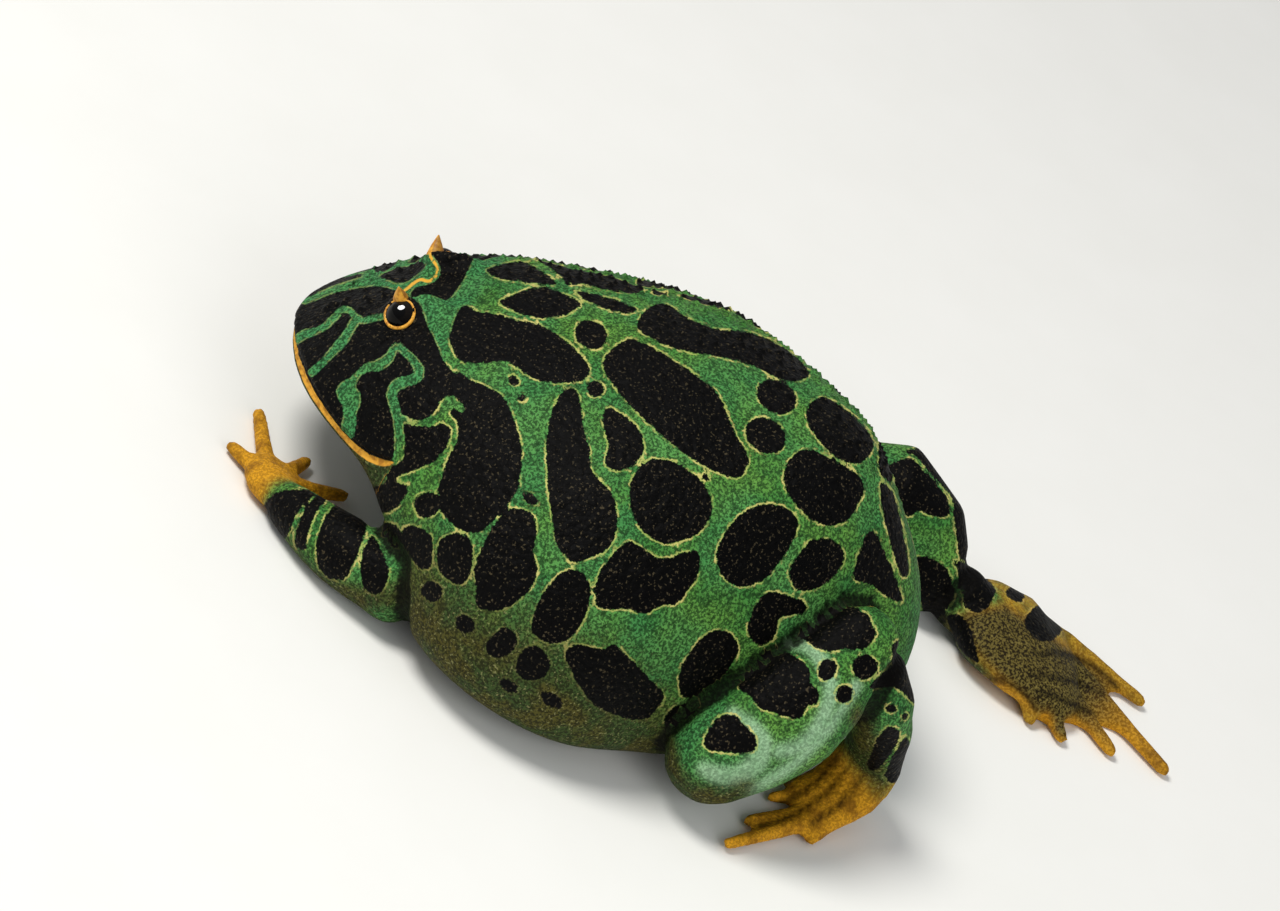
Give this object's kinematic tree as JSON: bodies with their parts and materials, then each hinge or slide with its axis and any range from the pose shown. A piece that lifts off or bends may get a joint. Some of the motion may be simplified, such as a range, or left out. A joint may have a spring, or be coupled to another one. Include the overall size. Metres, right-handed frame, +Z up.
{
  "type": "argentine horned frog",
  "caption": "Life-size still model of an Argentine horned frog resting on its belly, near hind leg folded, far hind leg stretched back, small horns over the eyes.",
  "frame": {"origin": "on the floor, under the middle of the whole animal", "axes": "+Z up, the frog looks along -Y, its left side faces +X"},
  "size_m": [0.132, 0.181, 0.0569],
  "materials": {
    "skin": "moist, finely granular, green with black blotches rimmed in yellow",
    "digit_skin": "smooth, orange yellow with brown marks",
    "eyelid": "smooth, gold yellow rim",
    "eye": "wet gloss, near black"
  },
  "bodies": {
    "root": {"torso": "skin", "head": "skin", "lower_jaw": "skin", "eye_left": "eye", "eye_right": "eye", "eyelid_horn_left": "eyelid", "eyelid_horn_right": "eyelid", "upper_arm_left": "skin", "upper_arm_right": "skin", "forearm_left": "skin", "forearm_right": "skin", "hand_left": "digit_skin", "hand_right": "digit_skin", "finger_first_left": "digit_skin", "finger_second_left": "digit_skin", "finger_third_left": "digit_skin", "finger_fourth_left": "digit_skin", "finger_first_right": "digit_skin", "finger_second_right": "digit_skin", "finger_third_right": "digit_skin", "finger_fourth_right": "digit_skin", "thigh_left": "skin", "thigh_right": "skin", "shank_left": "skin", "shank_right": "skin", "tarsus_left": "skin", "tarsus_right": "skin", "foot_left": "digit_skin", "foot_right": "digit_skin", "toe_first_left": "digit_skin", "toe_second_left": "digit_skin", "toe_third_left": "digit_skin", "toe_fourth_left": "digit_skin", "toe_fifth_left": "digit_skin", "toe_first_right": "digit_skin", "toe_second_right": "digit_skin", "toe_third_right": "digit_skin", "toe_fourth_right": "digit_skin", "toe_fifth_right": "digit_skin"}
  },
  "joints": []
}
